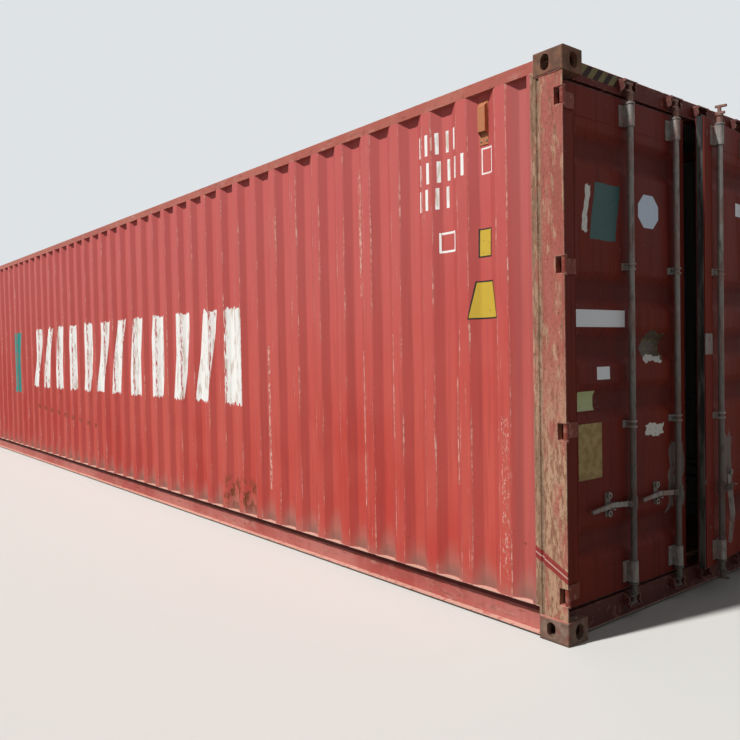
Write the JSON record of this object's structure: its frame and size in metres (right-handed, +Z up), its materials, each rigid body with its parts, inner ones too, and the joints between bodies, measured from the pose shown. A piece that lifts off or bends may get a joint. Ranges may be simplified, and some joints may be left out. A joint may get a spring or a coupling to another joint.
{
  "type": "forty foot high cube shipping container",
  "caption": "Corrugated steel freight container with cast corners and two hinged end doors, each with lock rods, cams and handles; one door stands ajar.",
  "frame": {"origin": "on the ground plane, midway between the four lower corner castings", "axes": "+X along the length towards the doors, +Y to the right of a person who faces the doors from outside, +Z up"},
  "size_m": [12.3375, 2.438, 2.896],
  "materials": {
    "body_paint": "faded red paint, chalky, rust spots",
    "casting_paint": "dark worn paint on cast steel",
    "door_paint": "dark red paint, grime at the edges",
    "roof_paint": "faded red paint with dirt",
    "galvanised": "zinc coat with red overspray, rust",
    "seal_rubber": "weathered grey rubber",
    "plywood": "worn plywood with a thin seal coat",
    "underside_paint": "black underside coat",
    "vent_paint": "tan paint, faded"
  },
  "bodies": {
    "container": {"casting_door_low_left": "casting_paint", "casting_door_low_right": "casting_paint", "casting_door_top_left": "casting_paint", "casting_door_top_right": "casting_paint", "casting_front_low_left": "casting_paint", "casting_front_low_right": "casting_paint", "casting_front_top_left": "casting_paint", "casting_front_top_right": "casting_paint", "door_post_left": "body_paint", "door_post_right": "body_paint", "front_posts": "body_paint", "top_side_rails": "body_paint", "bottom_side_rails": "body_paint", "door_header": "body_paint", "door_sill": "body_paint", "front_top_rail": "body_paint", "front_sill": "body_paint", "side_wall_left": "body_paint", "side_wall_right": "body_paint", "front_wall": "body_paint", "roof": "roof_paint", "floor_boards": "plywood", "cross_members": "underside_paint", "gooseneck_tunnel": "underside_paint", "side_vents": "vent_paint", "hinge_lugs": "body_paint", "cam_keepers": "galvanised"},
    "door_left": {"door_frame_left": "door_paint", "door_panel_left": "door_paint", "door_seal_left": "seal_rubber", "hinge_blades_left": "door_paint", "rod_brackets_left": "galvanised"},
    "door_right": {"door_frame_right": "door_paint", "door_panel_right": "door_paint", "door_seal_right": "seal_rubber", "hinge_blades_right": "door_paint", "rod_brackets_right": "galvanised"},
    "lock_rod_1": {"lock_rod_1": "galvanised"},
    "handle_1": {"handle_1": "galvanised"},
    "lock_rod_2": {"lock_rod_2": "galvanised"},
    "handle_2": {"handle_2": "galvanised"},
    "lock_rod_3": {"lock_rod_3": "galvanised"},
    "handle_3": {"handle_3": "galvanised"},
    "lock_rod_4": {"lock_rod_4": "galvanised"},
    "handle_4": {"handle_4": "galvanised"}
  },
  "joints": [
    {"name": "door_left_hinge", "type": "hinge", "parent": "container", "child": "door_left", "pos_m": [6.079, -1.197, 1.459], "axis": [0, 0, -1], "range_deg": [0, 260]},
    {"name": "door_right_hinge", "type": "hinge", "parent": "container", "child": "door_right", "pos_m": [6.079, 1.197, 1.459], "axis": [0, 0, 1], "range_deg": [-5.5, 254.5]},
    {"name": "lock_rod_1_turn", "type": "hinge", "parent": "door_left", "child": "lock_rod_1", "pos_m": [6.071, -0.61, 1.459], "axis": [0, 0, -1], "range_deg": [-100, 0]},
    {"name": "handle_1_lift", "type": "hinge", "parent": "lock_rod_1", "child": "handle_1", "pos_m": [6.071, -0.654, 0.619], "axis": [-1, 0, 0], "range_deg": [0, 40]},
    {"name": "lock_rod_2_turn", "type": "hinge", "parent": "door_left", "child": "lock_rod_2", "pos_m": [6.071, -0.15, 1.459], "axis": [0, 0, -1], "range_deg": [-100, 0]},
    {"name": "handle_2_lift", "type": "hinge", "parent": "lock_rod_2", "child": "handle_2", "pos_m": [6.071, -0.194, 0.619], "axis": [-1, 0, 0], "range_deg": [0, 40]},
    {"name": "lock_rod_3_turn", "type": "hinge", "parent": "door_right", "child": "lock_rod_3", "pos_m": [6.17139, 0.15405, 1.459], "axis": [0, 0, 1], "range_deg": [-20, 80]},
    {"name": "handle_3_lift", "type": "hinge", "parent": "lock_rod_3", "child": "handle_3", "pos_m": [6.21379, 0.16581, 0.619], "axis": [0.2672, -0.9636, 0], "range_deg": [0, 90]},
    {"name": "lock_rod_4_turn", "type": "hinge", "parent": "door_right", "child": "lock_rod_4", "pos_m": [6.1273, 0.61194, 1.459], "axis": [0, 0, 1], "range_deg": [-20, 80]},
    {"name": "handle_4_lift", "type": "hinge", "parent": "lock_rod_4", "child": "handle_4", "pos_m": [6.1697, 0.62369, 0.619], "axis": [0.2672, -0.9636, 0], "range_deg": [0, 90]}
  ]
}
